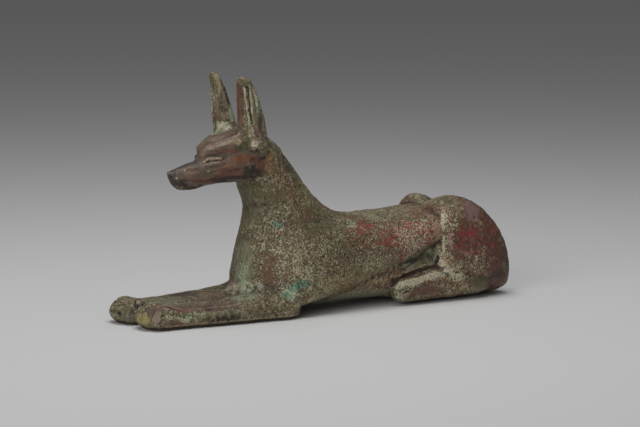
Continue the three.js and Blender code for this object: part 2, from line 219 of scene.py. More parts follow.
# Where each finish lies: the middle of each patch, its reach along each axis, and how much of the skin it
# covers. The first list is where the pale flecks are thick.
PATCHES = {
    "flecked": (
        ((4, -12, 8), (24, 8, 8), 0.6),
        ((-15, -12, 13), (8, 6, 10), 0.3),
        ((24, -12, 16), (16, 8, 8), 0.4),
        ((37, -13, 10), (8, 6, 9), 0.3),
        ((46, -13, 9), (9, 6, 6), 0.25),
        ((-20, -7, 41), (6, 6, 8), 0.3),
        ((-38, 0, 5.8), (24, 13, 1.8), 0.4),
        ((20, 0, 25), (18, 10, 4), 0.5),
        ((-27, -8, 55), (5, 5, 11), 0.6),
    ),
    "russet": (
        ((40, -8, 14), (30, 14, 20), 1),
        ((10, -10, 20), (14, 10, 8), 0.7),
        ((8, -12, 8), (26, 6, 4), 0.66),
        ((-8, -9, 12), (16, 8, 16), 0.6),
        ((-16, -8, 34), (6, 6, 8), 0.6),
    ),
    "olive": (
        ((-24.4, -1.4, 14), (3.4, 6, 14), 0.95),
        ((-22, -2, 28), (3.6, 5, 7), 0.7),
        ((29.8, -9.6, 12.8), (5.6, 3.2, 3.2), 1.5),
        ((24, -10.4, 10.8), (5, 2.4, 2), 1.2),
        ((5, -8.6, 3.2), (19, 5.4, 2), 1),
        ((44.6, -13, 3.8), (6.4, 4, 3.6), 0.6),
        ((36.5, -4, 27.4), (6, 9, 2.4), 0.5),
        ((36, 4, 26.4), (5, 6, 2.6), 0.8),
        ((-38, -12.4, 2.8), (20, 2.8, 2.8), 0.52),
        ((-48, 3, 5), (13, 7, 2), 0.6),
        ((-33, -3, 5.8), (8, 8, 1.6), 0.6),
        ((-57, 4, 3), (3.6, 6, 3.4), 0.56),
        ((-50, 4, 5.4), (7, 6, 2), 0.64),
        ((-24.8, -9.4, 56), (2, 1.6, 7), 0.75),
    ),
    "brown": (
        ((-37, 0, 39.6), (12.5, 8, 6.6), 1.5),
        ((-28, -3, 41), (7.4, 9, 7.4), 1.5),
        ((-28, 0, 45), (9, 6, 5.4), 1.5),
        ((-23.4, -8, 40.6), (3.4, 4, 4.4), 0.9),
        ((-27.7, -5.8, 54), (1.6, 2.2, 10), 1.3),
        ((-24.2, -9.8, 49.8), (2, 2, 3.4), 1.1),
        ((-28.2, 5.2, 53), (1.8, 3.4, 6), 1),
        ((-42, 2, 6.4), (18, 9, 1.7), 0.5),
        ((-45, -9.6, 5), (12, 1.8, 1.2), 0.8),
        ((27.4, -14.2, 3.9), (5.6, 2, 1.7), 0.85),
    ),
    "moss": (
        ((-28.4, -6.6, 44.6), (2.2, 2, 1.6), 1),
        ((-26.4, -7.6, 45.6), (1.9, 2.2, 2.6), 1),
        ((-27, -6.6, 48.2), (1.6, 2.2, 1.6), 0.7),
        ((-35.4, -3.4, 38), (3.6, 2.4, 1.9), 0.55),
        ((-31.4, -5, 42.6), (2.4, 1.6, 0.7), 0.6),
        ((-28.4, 5.4, 60), (1.6, 3.4, 4.4), 1.2),
        ((-36.6, -1.4, 42.4), (1.2, 2, 1), 0.5),
        ((-24.2, -9.6, 42.8), (2, 2.4, 1.4), 0.6),
        ((-24.6, -9.6, 54), (1.8, 1.4, 6), 0.62),
        # Painted shade: the throat, under the head
        ((-21.6, -1, 33), (3.4, 7, 4.4), 0.85),
        ((49.4, -13, 3.6), (6, 4, 3.6), 0.8),
        ((36, -9.4, 26.4), (4.6, 4, 2.4), 0.66),
        ((-7, -10.6, 24.6), (11, 5, 6.6), 0.6),
        ((-17.6, -7.4, 32), (5.6, 4, 6.4), 0.6),
        ((-46, -12.4, 3), (12, 2.6, 2.8), 0.36),
        ((-38, -13, 1.8), (8, 2.4, 2.4), 0.95),
        # Painted shade: the lower throat, under the head
        ((-21, 0.6, 29), (3, 6, 5.4), 0.8),
        ((45.4, -14, 4.4), (5, 3, 3), 0.8),
        ((18.4, -12.4, 4.4), (2.4, 3, 2.4), 0.5),
        ((37, 4.7, 26), (4.4, 4, 2.6), 0.6),
        ((-57.4, 3.7, 3.8), (3.6, 5, 3.6), 0.5),
        ((-27, -7.6, 61.6), (2, 2.6, 2.2), 0.8),
    ),
    "clay": (
        ((26, -13.2, 7.2), (9, 2.4, 1.6), 0.7),
        ((21, -12.6, 6.2), (3.6, 2.4, 1.4), 0.8),
        ((-34.6, -2.6, 44.9), (1.8, 2, 1), 0.9),
        ((-35.6, -0.8, 43.6), (1.6, 2.4, 1.4), 0.8),
        ((-32.4, -4, 45.9), (2.4, 1.8, 1.1), 1),
        ((-29.8, -5, 47), (2.6, 2.4, 1.5), 0.95),
        ((-27.6, -5.2, 48.2), (1.5, 1.8, 1.1), 0.7),
        ((-31.6, 0, 46.8), (4.6, 4, 1.6), 0.7),
        ((-34.2, -4, 40.7), (3.6, 1.8, 0.8), 1),
        ((-34.6, -3.6, 42), (2.6, 1.6, 0.5), 0.7),
        ((-40, -2.6, 38.6), (3.4, 1.6, 0.8), 0.5),
        ((-24.4, -9.8, 50.4), (1.6, 1.4, 2), 0.5),
        ((-25.4, -9.8, 45.9), (1.9, 1.7, 1.7), 1.3),
        ((-33, 2, 6), (14, 6, 1.6), 0.5),
        ((19.6, -13.4, 3), (1.8, 2, 1.7), 0.8),
        ((-56.8, -10.6, 3.4), (1.5, 1.6, 2.4), 0.9),
        ((-23.4, -7.2, 7.8), (3, 3, 2.4), 0.9),
        ((-24.2, 2.8, 7.4), (2.2, 4, 2), 0.95),
    ),
    "maroon": (
        ((-32, -4.8, 43.9), (3.2, 1.6, 0.9), 1.3),
        ((-29.6, -6, 43.8), (2, 1.6, 0.9), 0.9),
        ((-31, -4.8, 36.9), (6.4, 3, 1.5), 1.1),
        ((-30.4, -5.8, 38.6), (6, 3, 2), 0.8),
        ((-36.4, -3.2, 36.4), (6, 2.4, 1), 0.8),
        ((-22, -7.6, 39.4), (3, 2.6, 3.4), 1.1),
        ((-27.9, -5.8, 54.6), (1.2, 1.9, 9), 1.2),
        ((-28.2, 4.8, 52.6), (1.4, 2, 3.6), 0.6),
        ((-20.2, -8.6, 12.6), (3.8, 3.8, 8.4), 0.56),
        ((22, -12.6, 18), (15, 6, 8), 0.6),
        ((39.6, -14, 16), (8.6, 6, 9), 0.68),
        ((49.6, -12.5, 14), (8, 7, 12), 0.84),
        ((47.4, -11.6, 21.6), (4.6, 5, 4), 0.95),
        ((52, -12.6, 4), (5, 4, 4), 0.85),
        ((-9, -10, 26), (4, 4, 4), 0.5),
        ((27.8, -14.2, 3.9), (4.6, 2, 1.5), 0.66),
        ((23, -14, 3.4), (3, 2, 1.4), 0.6),
        ((-34, -6, 6), (10, 4, 1.4), 0.55),
        ((4, -12, 6), (28, 4, 3), 0.5),
        ((-49.8, -12, 1.4), (6, 1.6, 0.7), 0.9),
        ((-37.6, 7.1, 5.9), (5, 2, 1), 0.8),
    ),
    "mauve": (
        # Partly painted reflection: this patch lays a paler sheen on the top of the haunch; the other mauve
        # patches are the rump's purple-brown
        ((42.8, -12.6, 24), (4.2, 4, 4.4), 0.8),
        ((53.6, -8, 14), (4, 7, 12), 0.6),
        ((40.5, -14.4, 17), (1.8, 2, 7), 0.5),
        ((52, -12, 4), (4, 5, 4), 0.4),
    ),
    "rust": (
        ((-27.4, -7, 41.9), (3.1, 2.6, 1.6), 0.85),
        ((-24.6, -7.8, 41.6), (1.6, 2.2, 1.2), 0.6),
        ((-31.4, -5.2, 40.2), (2.4, 2, 1), 0.55),
        ((-29.4, -6.2, 41.6), (2, 1.6, 1.4), 0.6),
        ((-27.5, -5.8, 52.4), (1, 1.6, 3), 0.55),
        ((-19.6, -8, 39.4), (3, 3, 5), 0.46),
    ),
    "red": (
        ((22, -12.6, 18.6), (14, 5, 7.4), 0.46),
        ((14.5, -13.2, 18.2), (5, 3, 1.6), 0.52),
        ((23, -12, 21.4), (3.6, 3, 1.4), 0.54),
        ((19.8, -12.9, 13.4), (2.4, 3, 1.8), 0.6),
        ((28, -13.4, 17.6), (3.6, 3, 1.4), 0.54),
        ((30.4, -12.6, 15.6), (3.4, 2, 0.8), 0.66),
        ((34.9, -14.5, 17.8), (1.4, 1.4, 1.5), 0.7),
        ((39.3, -14.8, 17.2), (1.3, 1.6, 3.8), 0.6),
        ((41, -13.6, 16.4), (9, 5, 7), 0.45),
        ((49.6, -13.6, 18.2), (3.4, 4, 3), 0.5),
        ((49, -14, 14), (2.6, 3, 2), 0.52),
        ((9, -11, 21.8), (7, 5, 3), 0.5),
        ((-18.6, -8, 26.4), (1.3, 2, 0.8), 0.7),
        ((-17.6, -9, 22.4), (1.3, 2, 1.2), 0.7),
        ((32, 9, 24.6), (3.4, 3.4, 2.4), 0.8),
        ((-48.1, -11, 4.7), (1.6, 1.4, 0.8), 0.5),
    ),
    "salmon": (
        ((30.4, -13.4, 20.4), (1.8, 2, 2.6), 1.3),
        ((30.9, -13.4, 17.2), (1.4, 2, 1.4), 0.7),
        ((22, -12.6, 20), (12, 4, 5), 0.38),
        ((-31.5, 3.8, 5.8), (3.4, 3, 0.8), 0.7),
        ((40, -14.6, 13), (3, 2, 2.6), 0.5),
    ),
    "slate": (
        ((-41.4, 0, 40.7), (6.6, 2.1, 1.7), 1.3),
        ((-45.2, 0, 38.2), (2.4, 2.8, 2.6), 1.3),
        ((-38.4, -1.4, 40.6), (2.4, 1.4, 1), 0.8),
        ((-37.4, 5.4, 6), (8, 3, 1), 0.6),
    ),
    "black": (
        # Painted shade: the next two patches darken the underside of the chin and jaw
        ((-44, 0, 35.2), (5, 4, 2.5), 1.4),
        ((-38, 0, 34), (9, 4, 1.9), 1.2),
        ((-45.6, -0.5, 37.4), (0.8, 1.4, 0.9), 1.5),
        # Painted shade: the next four patches darken the lower jaw and round its back corner
        ((-25.1, -7.2, 38.6), (2.9, 2.4, 1.9), 1.2),
        ((-26, -5.6, 36.5), (5.4, 3.4, 1.4), 1),
        ((-31.4, -4.6, 36.4), (5.6, 3, 1.2), 1),
        ((-22.4, -7.6, 37.8), (2.6, 3, 1.6), 0.7),
        # Painted shade: the inner side of the far ear, turned away from the light
        ((-26, 3.3, 57.5), (1.7, 1.5, 6.4), 1.5),
        ((-25, -9.6, 43.7), (1.9, 2, 0.7), 0.85),
        ((-23.9, -9.8, 51), (1.1, 1.4, 3), 0.7),
        # Painted shade: the rear of the rump, which faces away from the lights
        ((55.6, -9, 12), (2.6, 8, 13), 0.6),
        ((51.4, -13.4, 6), (4.4, 3, 2.4), 0.6),
        ((-13, -5, 38), (2.4, 4, 6), 0.6),
        ((-41, -11.5, 4.9), (2.2, 1.6, 0.9), 1),
        # Painted shade: the lowest band of the near foreleg, dark beside the ground
        ((-37.5, -13, 1.8), (8, 2.4, 1.9), 0.8),
        ((-35.8, -2.4, 42.6), (1.2, 1.2, 0.4), 0.5),
        ((-58.4, 7.2, 3.3), (1, 1.1, 0.8), 1),
        ((-58.3, 4.2, 3.1), (1.1, 1.2, 0.8), 1),
        ((-56.2, 0.8, 3.9), (1.2, 1, 1.6), 0.9),
        ((-57.4, 0.6, 2.6), (1.6, 1, 2.4), 1.1),
        ((-26.9, -8.1, 60.2), (0.5, 0.6, 0.6), 1.2),
        ((32.2, -11.6, 11.4), (0.8, 1.4, 1.4), 1.2),
    ),
    "mint": (
        ((-24.4, -2.8, 7.4), (3, 3.6, 3.4), 1),
        ((-24, -1.6, 11.4), (2, 3.4, 5), 0.55),
        ((-22.8, -6.6, 8.4), (2, 2.4, 2), 0.55),
        ((-26.6, 3.6, 49.2), (2.8, 4.4, 2.1), 0.76),
        ((-28, 4.6, 48.2), (2.6, 3.6, 2), 0.72),
        ((-24.3, 2.8, 52.4), (1.3, 1.8, 3.4), 1),
        ((-17.2, -8.6, 23.4), (2.6, 2.4, 3), 0.45),
        ((21, -12.8, 16.6), (9, 4, 5), 0.42),
        ((23.3, -13.4, 18.8), (1.6, 1.6, 1), 0.56),
        ((27.8, -11.4, 22.2), (1.6, 2, 0.8), 0.6),
        ((24, -12.6, 13.4), (7, 3, 2), 0.5),
        # Painted light: this pale patch brightens the plane under the flank's edge, which the edge shades
        ((30.6, -8.6, 13.2), (2.6, 2.6, 2.2), 0.8),
        ((31.9, -13.2, 8.2), (3, 2.2, 1.6), 0.66),
        ((36, -13.4, 20.4), (2.6, 2.6, 4), 0.45),
        ((38, -14.2, 7), (3.4, 2, 1.8), 0.6),
        ((-47.6, -12, 3.2), (5.4, 1.8, 1.9), 0.55),
        ((-53, -11.6, 3.6), (2, 1.6, 1.6), 0.5),
        ((-47, -12.6, 3.4), (8, 2.2, 2), 0.4),
        ((4.6, -9.6, 22.6), (3.4, 4, 2.4), 0.5),
        ((-24.6, -9.6, 56.4), (1.6, 1.4, 4.6), 0.42),
        ((-16.6, -13.4, 7), (5.4, 3, 4.4), 0.56),
        ((18.6, -13, 3.4), (2.4, 3, 3.4), 0.44),
        ((-44, -3, 6.3), (16, 7, 1.6), 0.48),
        ((-28, -8.6, 6.4), (8, 6, 2.2), 0.56),
    ),
    "malachite": (
        ((-17.1, -8.3, 24.4), (1.5, 2, 1.2), 0.8),
        ((-18.4, -13.4, 6.5), (2.2, 2, 1.9), 0.52),
        ((-16.2, -13.3, 7.7), (1.8, 2, 1.8), 0.54),
        ((-14.2, -13.4, 8.7), (1.9, 2, 2.8), 0.56),
        ((-12.5, -13.7, 8.8), (1.6, 2, 2), 0.52),
        ((6.4, -8.7, 23.4), (0.9, 1.6, 0.8), 0.66),
        ((36.8, 1.6, 26.2), (2, 2, 1), 0.5),
        ((-34, -4.6, 41.5), (1.5, 1, 0.35), 0.36),
    ),
    "ochre": (
        ((-58.4, -7, 3.2), (2, 3.4, 3.2), 0.78),
        ((-28.4, 5.6, 61.4), (1.6, 3, 2.6), 0.42),
        ((-28, 5.6, 57), (1.4, 2.8, 4.6), 0.44),
        ((-57.8, 5, 5), (2, 4, 1.8), 0.42),
        ((-19, -8, 40), (4, 4, 7), 0.43),
        ((2, -12.6, 8), (20, 6, 6), 0.46),
        ((-9, -8, 30), (6, 6, 8), 0.4),
        ((-27.6, -6.6, 46.6), (2, 2, 1.6), 0.46),
        ((-36.2, -0.8, 43.4), (1.2, 2, 1.6), 0.48),
        ((22, -13, 19), (10, 4, 5), 0.38),
    ),
    "cream": (
        ((-25.8, -9.9, 45.8), (2.2, 1.6, 1.5), 0.6),
        ((-44.1, -1.9, 37.6), (0.5, 0.8, 0.4), 0.7),
        ((-41.8, -1.8, 39.4), (0.5, 0.8, 0.35), 0.62),
        ((-35.4, -3.4, 39), (0.9, 0.9, 0.4), 0.56),
        ((19, -12.4, 6), (1.8, 1.8, 1.2), 0.54),
        ((-24.8, 2.6, 6.8), (2.2, 3.8, 2.4), 0.76),
        ((-24.4, -3, 6.8), (2.4, 3, 1.8), 0.5),
        ((-27.4, -7.4, 62.9), (1.2, 1.8, 0.7), 0.56),
        ((23, -12.6, 18.6), (12, 5, 7), 0.42),
        ((44, -13, 11), (9, 5, 8), 0.36),
        ((-26.8, 3, 49.2), (2.4, 3.4, 1.6), 0.58),
        ((-28.6, -5, 48), (2.2, 1.8, 1.1), 0.52),
        ((-16.4, -13.4, 7.4), (3.6, 2, 2.6), 0.44),
    ),
}

THIGH_FRONT = (
    (33.9, -12.2, 23.4),
    (32.8, -13, 21),
    (32.7, -13.3, 17.7),
    (33, -13.1, 13.4),
    (32.8, -12.8, 9.8),
)
HIND_FOOT_TOP = (
    (18.6, -12.6, 5.8),
    (22, -13.4, 6.2),
    (26.6, -13.2, 7.1),
    (30.7, -12.8, 8),
    (33.6, -13.4, 8.4),
    (37.6, -14.2, 6.6),
)

# Finishes that lie along a line: its path, its width and how much of the skin it covers
STREAKS = {
    "black": (
        (((-26.6, -8.4, 60), (-26.5, -8.3, 57.3), (-26.2, -8.5, 54.2), (-25.9, -8.8, 51)), 0.3, 0.8),
        # Painted shadow: the dark line that the flank's edge casts on the plane under it
        (((20.3, -10.9, 9.4), (24.7, -10.8, 11.1), (28.6, -10.6, 12.9), (31.8, -11.6, 15)), 0.2, 0.7),
        (((17.8, -10.8, 6.8), (23, -11.2, 8.1), (27.6, -11.4, 9.2), (32, -11.6, 10)), 0.5, 1),
        (((-36.2, -1.6, 42.4), (-35.2, -3, 42.9), (-33.7, -4.1, 43)), 0.22, 0.5),
        (((-57.8, 1.6, 5), (-56, 0.6, 5.4), (-54.2, 0.6, 5.2), (-52.2, 1, 5.2)), 0.5, 1.1),
        (((-54.8, 1, 5.2), (-54.4, 2.4, 5.9), (-52.8, 3.4, 6.2), (-51, 3.4, 6)), 0.34, 0.9),
        (((-56.8, 3.6, 5.2), (-56, 5.6, 5.8), (-55.4, 7.2, 5.6)), 0.3, 0.8),
        (((-59.2, -3.2, 3), (-58.4, -3.2, 4.6), (-56.6, -3.3, 6.2), (-54.4, -3.4, 6.6)), 0.34, 1.1),
        (((-59.2, -6, 3.4), (-58.8, -6, 4.6), (-56.8, -6.1, 6.4), (-54.6, -6.2, 6.6)), 0.34, 1.1),
        (((-59, -8.8, 3), (-58.2, -8.9, 4.2), (-56.6, -8.8, 5.4)), 0.34, 1.1),
        (((17.4, -10.9, 5.4), (18.6, -11.1, 6.4), (21, -11.5, 6.8)), 0.3, 1.1),
        (((17.4, -12.4, 4.4), (18.6, -12.9, 5.4), (21, -13.2, 6)), 0.3, 1.1),
    ),
    "brown": (
        (((-56, -8.9, 4.9), (-54.7, -9.5, 6), (-52.7, -9.1, 6.2), (-49.8, -10.1, 5.4)), 1.3, 1),
        (((-49.8, -10.1, 5.4), (-46, -11, 4.9), (-42, -11.4, 4.9), (-34, -12.2, 5)), 1, 1),
    ),
    "maroon": (
        (((-53, -9.6, 5.8), (-49.8, -10.6, 5), (-46, -11.2, 4.7), (-40, -11.8, 4.7)), 0.7, 0.56),
    ),
    "mint": (
        (((-26.6, -7.9, 56.6), (-26.5, -8.1, 54.5), (-26.2, -8.4, 50.6), (-25.4, -9.3, 49)), 0.34, 0.62),
        (((33.6, -13.3, 15.6), (33, -13, 12.6), (33, -12.8, 9.8)), 1.2, 0.48),
        (HIND_FOOT_TOP, 1.5, 0.46),
    ),
    "cream": (
        (((-27.3, -7.3, 60), (-27, -7.6, 58.6), (-26.7, -7.8, 56.6)), 0.3, 0.62),
        (((-26.2, -8.8, 58), (-25.9, -9, 55.6), (-25.8, -9, 53.8)), 0.26, 0.6),
        (((-36.2, -2.4, 41.3), (-35, -3.9, 42), (-33.6, -4.7, 42.2), (-32.4, -5.1, 42.1)), 0.4, 0.44),
        (((-37, -2.6, 40.3), (-35.2, -3.7, 40.6), (-33.4, -4.6, 41)), 0.3, 0.4),
        (THIGH_FRONT, 0.8, 0.58),
        (((34.6, -12.4, 24), (34.6, -13.4, 20), (34.6, -13.8, 14), (34.8, -13.8, 9)), 1.5, 0.38),
        (HIND_FOOT_TOP, 1.2, 0.58),
        (((-42.8, -1.7, 38.6), (-40.6, -2.2, 39.5), (-38, -2.6, 40.1)), 0.2, 0.5),
    ),
}

# Where the skin is worn smooth, as patches
SMOOTH = (
    ((-37, 0, 39), (11, 6, 7), 0.95),
    ((-28, 0, 40.6), (8, 10, 6.4), 0.9),
    ((-30, 0, 46), (7, 6, 4), 0.95),
    ((-27.6, -5.8, 54), (1.6, 2, 9), 0.8),
    ((-24.5, -1.4, 13), (3.4, 5, 12), 0.4),
    ((6, -8, 2.6), (20, 7, 2.6), 0.9),
    ((29, -9.6, 12), (6, 3, 3), 0.95),
    ((30.4, -13.4, 20.2), (1.7, 2, 2.2), 0.8),
    ((46, -12, 4), (8, 5, 5), 0.7),
    ((44.1, -11, 25), (4, 5, 4), 0.8),
    ((28.6, -14.2, 4.4), (5.5, 2.4, 1.8), 0.8),
    ((-42, 0, 6.2), (16, 9, 1.6), 0.7),
    ((-44, -11, 4.6), (12, 2.4, 1.4), 0.6),
)


# Colours of the finishes
FINISHES = {
    # Umber also serves as the painted contact shadow along the ground
    "umber": ("Dark metal in the pits", (0.024, 0.015, 0.01)),
    "bark": ("Main speckled patina", (0.145, 0.108, 0.056)),
    "russet": ("Redder ground of the rear", (0.2, 0.09, 0.05)),
    "tan": ("Pale flecks", (0.52, 0.42, 0.27)),
    "sage": ("Green flecks", (0.28, 0.29, 0.175)),
    "brown": ("Smooth brown of the head", (0.15, 0.098, 0.067)),
    "moss": ("Dark green-brown of the head", (0.105, 0.092, 0.042)),
    "maroon": ("Smooth red-brown patina", (0.145, 0.058, 0.036)),
    # Mauve is partly a painted sheen, on the top of the haunch
    "mauve": ("Purple-brown sheen of the haunch", (0.24, 0.14, 0.13)),
    "rust": ("Orange stain", (0.25, 0.09, 0.032)),
    "red": ("Bright copper oxide", (0.31, 0.048, 0.042)),
    "salmon": ("Flat pale red", (0.33, 0.19, 0.13)),
    "slate": ("Dark grey of the nose", (0.056, 0.052, 0.051)),
    # Black also serves as painted shade under the jaw, on the far ear, on the rear of the rump, low on the
    # foreleg and under the flank's edge, as marked at its patches
    "black": ("Nearly black patina", (0.034, 0.023, 0.019)),
    "olive": ("Smooth grey-green crust", (0.25, 0.24, 0.15)),
    "mint": ("Pale green crust", (0.46, 0.52, 0.35)),
    "malachite": ("Bright green crust", (0.1, 0.36, 0.24)),
    "clay": ("Pinkish earth rubbed into the skin", (0.25, 0.18, 0.135)),
    "cream": ("Pale earth left on the skin", (0.66, 0.58, 0.42)),
    "ochre": ("Yellow earth left on the skin", (0.42, 0.33, 0.13)),
}


def finish_property(name, description, colour):
    """Colour of one finish, as a setting."""
    return bpy.props.FloatVectorProperty(
        name=name, description=description, subtype="COLOR", size=3, min=0.0, max=1.0, default=colour
    )


def length_property(name, description, length):
    """A small length, as a setting."""
    return bpy.props.FloatProperty(
        name=name, description=description, unit="LENGTH", precision=5, min=0.0, default=length
    )


class BronzeSettings(bpy.types.PropertyGroup):
    """What a user may change on the bronze."""

    grain: length_property("Grain", "Edge of a cell of the fine skin", 0.3 * MM)
    triangles: bpy.props.IntProperty(
        name="Triangles", description="Most triangles in the finished skin", default=196000, min=10000
    )
    corrosion: length_property("Corrosion", "Depth of the corroded relief", 0.1 * MM)


for finish, (look, colour) in FINISHES.items():
    BronzeSettings.__annotations__[finish] = finish_property(finish.title(), look, colour)


class StudioSettings(bpy.types.PropertyGroup):
    """What a user may change in the studio."""

    floor: bpy.props.FloatVectorProperty(
        name="Floor", description="Colour of the floor", subtype="COLOR", size=3, default=(0.7, 0.7, 0.7)
    )
    softbox: bpy.props.FloatProperty(
        name="Softbox", description="Power of the light over the figure", default=0.96, unit="POWER"
    )
    fill: bpy.props.FloatProperty(
        name="Fill", description="Power of the light beside the camera", default=3.4, unit="POWER"
    )
    room: bpy.props.FloatProperty(
        name="Room", description="Strength of the light from all round", default=0.12, min=0.0
    )


# Fine mesh


def link(piece):
    """Puts the object in the scene and hands it back."""
    bpy.context.scene.collection.objects.link(piece)
    return piece


def casting_copy(name):
    """Copy of the casting's mesh with its loose triangles joined."""
    shape = bmesh.new()
    shape.from_mesh(CASTING.data)
    bmesh.ops.remove_doubles(shape, verts=shape.verts, dist=0.001 * MM)
    mesh = bpy.data.meshes.new(name)
    shape.to_mesh(mesh)
    shape.free()
    return link(bpy.data.objects.new(name, mesh))


def bake_modifier(piece, kind, **settings):
    """Works one modifier into the piece's mesh."""
    modifier = piece.modifiers.new(kind.title(), kind)
    for name, value in settings.items():
        setattr(modifier, name, value)
    before = piece.data
    depsgraph = bpy.context.evaluated_depsgraph_get()
    piece.data = bpy.data.meshes.new_from_object(piece.evaluated_get(depsgraph))
    piece.modifiers.clear()
    bpy.data.meshes.remove(before)


def refine(piece, boxes):
    """Splits the faces in the boxes in four."""
    shape = bmesh.new()
    shape.from_mesh(piece.data)
    bounds = np.array(boxes)
    centres = np.array([face.calc_center_median() for face in shape.faces]) / MM
    centres[:, 1] = np.abs(centres[:, 1])
    chosen = np.zeros(len(centres), dtype=bool)
    for low, high in bounds:
        chosen |= np.all((centres > low) & (centres < high), axis=1)
    # The edges stay in order, so that each run gives the same mesh
    edges = dict.fromkeys(edge for face, inside in zip(shape.faces, chosen) if inside for edge in face.edges)
    bmesh.ops.subdivide_edges(shape, edges=list(edges), cuts=1, use_grid_fill=True)
    shape.to_mesh(piece.data)
    shape.free()


def triangle_count(mesh):
    """Triangles that the mesh's faces make."""
    return sum(len(face.vertices) - 2 for face in mesh.polygons)


class Skin:
    """Points of a fine mesh in millimetres, which strokes and corrosion move along their normals."""

    def __init__(self, mesh):
        self.mesh = mesh
        self.count = len(mesh.vertices)
        edges = np.empty(len(mesh.edges) * 2, dtype=np.int32)
        mesh.edges.foreach_get("vertices", edges)
        edges = edges.reshape(-1, 2)
        self.start = np.concatenate([edges[:, 0], edges[:, 1]])
        self.end = np.concatenate([edges[:, 1], edges[:, 0]])
        self.neighbours = np.bincount(self.start, minlength=self.count)
        self.places = self.read("co") / MM
        self.normals = self.read("normal")

    def read(self, what):
        """Three numbers for each vertex of the mesh."""
        values = np.empty(self.count * 3)
        self.mesh.vertices.foreach_get(what, values)
        return values.reshape(-1, 3)

    def settle(self):
        """Writes the points to the mesh and reads the new normals."""
        self.mesh.vertices.foreach_set("co", (self.places * MM).ravel())
        self.mesh.update()
        self.normals = self.read("normal")

    def average(self, values):
        """Mean over each point's neighbours."""
        sums = []
        for column in values.T:
            sums.append(np.bincount(self.start, weights=column[self.end], minlength=self.count))
        return np.stack(sums, axis=1) / self.neighbours[:, None]

    def relax(self, rounds, share, pulls=(PULL, PUSH)):
        """Smooths the skin. The share, from 0 to 1, says how much each point takes part."""
        for _ in range(rounds):
            for pull in pulls:
                self.places += pull * share[:, None] * (self.average(self.places) - self.places)

    def push(self, amount):
        """Moves the points along their normals."""
        self.places += self.normals * amount[:, None]

    def mirrored(self):
        """The places as if all were where y is positive."""
        places = self.places.copy()
        places[:, 1] = np.abs(places[:, 1])
        return places


def smoothstep(value, low, high):
    """Soft step from 0 at low to 1 at high."""
    share = np.clip((value - low) / (high - low), 0, 1)
    return share * share * (3 - 2 * share)


def from_path(places, path):
    """Distance of each place from the path, and its share of the way along."""
    corners = np.array(path)
    lengths = np.linalg.norm(np.diff(corners, axis=0), axis=1)
    nearest = np.full(len(places), np.inf)
    share = np.zeros(len(places))
    for n, length in enumerate(lengths):
        direction = (corners[n + 1] - corners[n]) / length
        along = np.clip((places - corners[n]) @ direction, 0, length)
        away = np.linalg.norm(places - corners[n] - along[:, None] * direction, axis=1)
        closer = away < nearest
        nearest[closer] = away[closer]
        share[closer] = (lengths[:n].sum() + along[closer]) / lengths.sum()
    return nearest, share


def engrave(skin, strokes):
    """Cuts or raises soft lines, which fade out at both ends."""
    places = skin.mirrored()
    for path, width, height in strokes:
        reach = 3 * width
        low = np.min(path, axis=0) - reach
        high = np.max(path, axis=0) + reach
        close = np.all((places > low) & (places < high), axis=1)
        away, share = from_path(places[close], path)
        fade = smoothstep(np.minimum(share, 1 - share), -0.05, 0.2)
        amount = np.zeros(skin.count)
        amount[close] = height * fade * np.exp(-((away / width) ** 2))
        skin.push(amount)


def fan(lines):
    """Fine strokes side by side, from the first line to the last."""
    first, last = np.array(FAN)
    shares = np.linspace(0, 1, lines)
    return [(first + (last - first) * share, FAN_WIDTH, FAN_HEIGHT) for share in shares]


def dent(skin, dents):
    """Presses small hollows."""
    for place, radius, depth in dents:
        away = np.linalg.norm(skin.places - place, axis=1)
        skin.push(-depth * np.exp(-((away / radius) ** 2)))


def wander(places, size, octaves, seed):
    """Soft noise round 0, with bumps about size millimetres across."""
    shift = Vector((seed * 17.3, seed * -9.1, seed * 5.7))
    return np.array([noise.fractal(Vector(p) / size + shift, 0.9, 2.0, octaves) for p in places.tolist()])


def wobble(places, size, reach, seed=0):
    """Places moved about, so that what is laid out by them gets a ragged edge."""
    shift = Vector((seed * 7.7, seed * 3.1, seed * -4.9))
    return places + reach * np.array([noise.noise_vector(Vector(p) / size + shift) for p in places.tolist()])


def pitting(places, size, seed):
    """Round pits of many depths, from 0 between them to 1 in the deepest."""
    shift = Vector((seed * 5.3, seed * 11.9, seed * 2.3))
    depths = []
    for place in places.tolist():
        distances, points = noise.voronoi(Vector(place) / size + shift)
        strength = noise.noise(points[0] * 3.7)
        depths.append(max(0.0, 1 - distances[0] / 0.55) * max(0.0, strength))
    return np.array(depths)


def coverage(places, patches):
    """How much of the skin the patches cover at each place. They end a little past their reach."""
    cover = np.zeros(len(places))
    for centre, reach, amount in patches:
        away = np.linalg.norm((places - centre) / reach, axis=1)
        np.maximum(cover, amount * smoothstep(1.15 - away, 0, 0.8), out=cover)
    return cover


def streaked(places, streaks):
    """How much of the skin the streaks cover at each place."""
    cover = np.zeros(len(places))
    for path, width, amount in streaks:
        away, _ = from_path(places, path)
        np.maximum(cover, amount * smoothstep(1.6 - away / width, 0, 1), out=cover)
    return cover


def echoed(places, patches, streaks=()):
    """Coverage that the far side repeats."""
    sided = [patch for patch in patches if patch[0][1] < NEAR_SIDE]
    far = places * (1, -1, 1) + FAR_STEP
    near = np.maximum(coverage(places, patches), streaked(places, streaks))
    return np.maximum(near, FAR_SHARE * coverage(far, sided))


def store(mesh, name, values):
    """Keeps one number for each point of the mesh, for the material to read."""
    layer = mesh.attributes.new(name, "FLOAT", "POINT")
    layer.data.foreach_set("value", values.astype(np.float32))


